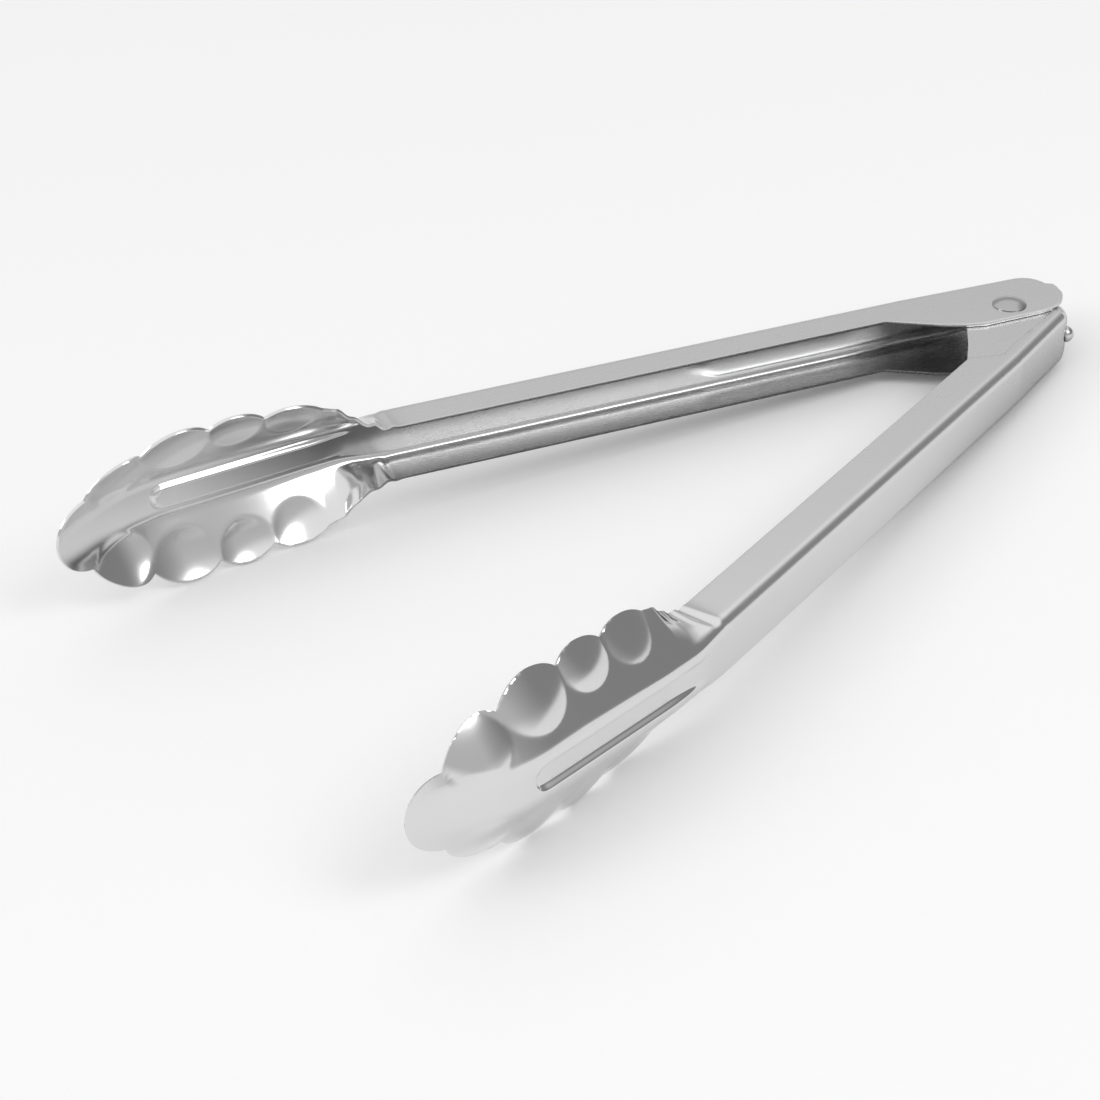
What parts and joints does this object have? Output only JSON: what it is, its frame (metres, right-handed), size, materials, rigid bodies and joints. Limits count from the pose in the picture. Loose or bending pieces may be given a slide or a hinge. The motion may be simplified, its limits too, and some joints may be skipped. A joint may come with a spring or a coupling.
{
  "type": "kitchen tongs",
  "caption": "Spring loaded sheet metal kitchen tongs with channel handles, scalloped ribbed claws and a riveted pivot.",
  "frame": {"origin": "middle of the footprint, at the height of the lowest claw lobes", "axes": "the claw tips point to -X, the pivot rivet stands along +Z at the +X end, and the outer arm is on the +Y side"},
  "size_m": [0.2959, 0.162, 0.0461],
  "materials": {
    "arm_sheet": "bright polished stainless sheet",
    "rivet": "polished",
    "spring_wire": "drawn wire"
  },
  "bodies": {
    "outer_arm_body": {"outer_arm": "arm_sheet", "pivot_rivet": "rivet", "torsion_spring": "spring_wire"},
    "inner_arm_body": {"inner_arm": "arm_sheet", "spring_anchor_rivet": "rivet"}
  },
  "joints": [
    {"name": "pivot_hinge", "type": "hinge", "parent": "outer_arm_body", "child": "inner_arm_body", "pos_m": [0.12723, 0, 0.02305], "axis": [0, 0, 1], "range_deg": [-29.9, 0], "stiffness_Nm_per_rad": 0.8, "springref_deg": 11.46, "deforming": ["torsion_spring"]}
  ]
}
